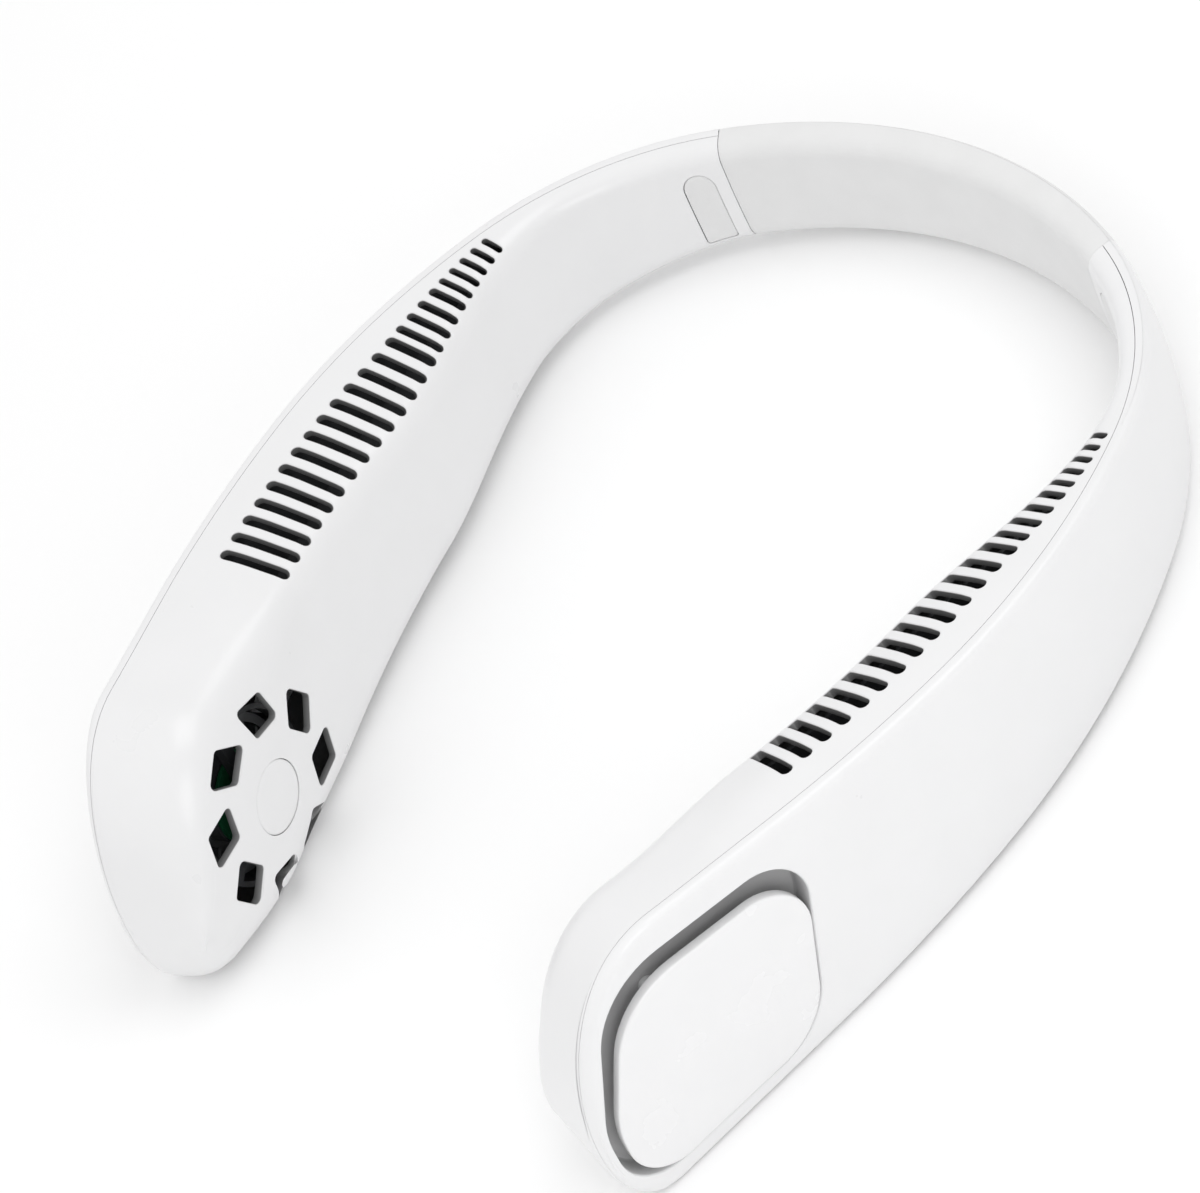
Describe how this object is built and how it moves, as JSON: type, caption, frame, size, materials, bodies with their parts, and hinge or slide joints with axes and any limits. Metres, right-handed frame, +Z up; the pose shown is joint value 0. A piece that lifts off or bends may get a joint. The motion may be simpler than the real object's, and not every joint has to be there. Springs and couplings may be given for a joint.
{
  "type": "electric neck fan",
  "caption": "Neck-worn electric fan: a flexible silicone band joins two hollow vented arms, each ending in a deep pod with a caged blower fan.",
  "frame": {"origin": "middle of the footprint, on the surface that the pods and the band rest on", "axes": "+X to the wearer's left arm, +Y to the back of the neck, +Z up from the resting surface"},
  "size_m": [0.199, 0.2342, 0.0587],
  "materials": {
    "shell": "satin",
    "silicone": "matte",
    "plate": "satin",
    "housing": "matte",
    "blades": "satin",
    "steel": "brushed",
    "magnet": "matte",
    "core": "matte",
    "copper": "satin",
    "bronze": "satin",
    "board": "satin",
    "duct": "matte",
    "cell": "satin",
    "pad": "matte",
    "clamp": "matte",
    "cable": "matte",
    "button": "satin",
    "switch": "matte",
    "light": "satin"
  },
  "bodies": {
    "left_arm": {"left_outer_shell": "shell", "left_inner_shell": "shell", "left_fan_cover": "plate", "left_hub_disc": "plate", "left_fan_housing": "housing", "left_stator_core": "core", "left_windings": "copper", "left_bearing": "bronze", "left_motor_board": "board", "left_housing_screws": "steel", "left_air_duct": "duct", "left_battery": "cell", "left_battery_pads": "pad", "left_band_anchor": "clamp", "left_anchor_screw": "steel", "left_screw_cover": "silicone", "left_fan_lead": "cable", "band_sleeve": "silicone", "spring_strip": "steel", "band_cable": "cable", "control_board": "board", "usb_socket": "steel", "button_switch": "switch", "status_light": "light"},
    "right_arm": {"right_outer_shell": "shell", "right_inner_shell": "shell", "right_fan_cover": "plate", "right_hub_disc": "plate", "right_fan_housing": "housing", "right_stator_core": "core", "right_windings": "copper", "right_bearing": "bronze", "right_motor_board": "board", "right_housing_screws": "steel", "right_air_duct": "duct", "right_battery": "cell", "right_battery_pads": "pad", "right_band_anchor": "clamp", "right_anchor_screw": "steel", "right_screw_cover": "silicone", "right_fan_lead": "cable"},
    "left_impeller": {"left_impeller": "blades", "left_motor_shaft": "steel", "left_magnet_ring": "magnet"},
    "right_impeller": {"right_impeller": "blades", "right_motor_shaft": "steel", "right_magnet_ring": "magnet"},
    "power_button": {"power_button": "button"}
  },
  "joints": [
    {"name": "band_flex", "type": "hinge", "parent": "left_arm", "child": "right_arm", "pos_m": [0, 0.11189, 0.01712], "axis": [0, -0.1532, -0.9882], "range_deg": [-8, 35], "stiffness_Nm_per_rad": 1.6, "deforming": ["band_sleeve", "spring_strip", "band_cable"]},
    {"name": "left_fan_spin", "type": "hinge", "parent": "left_arm", "child": "left_impeller", "pos_m": [0.06724, -0.07896, 0.02413], "axis": [0.9588, -0.2807, 0.0435], "continuous": true},
    {"name": "right_fan_spin", "type": "hinge", "parent": "right_arm", "child": "right_impeller", "pos_m": [-0.06724, -0.07896, 0.02413], "axis": [-0.9588, -0.2807, 0.0435], "continuous": true},
    {"name": "button_press", "type": "slide", "parent": "left_arm", "child": "power_button", "axis": [0.0986, -0.0043, 0.9951], "range_m": [0, 0.0008], "stiffness_N_per_m": 900}
  ]
}
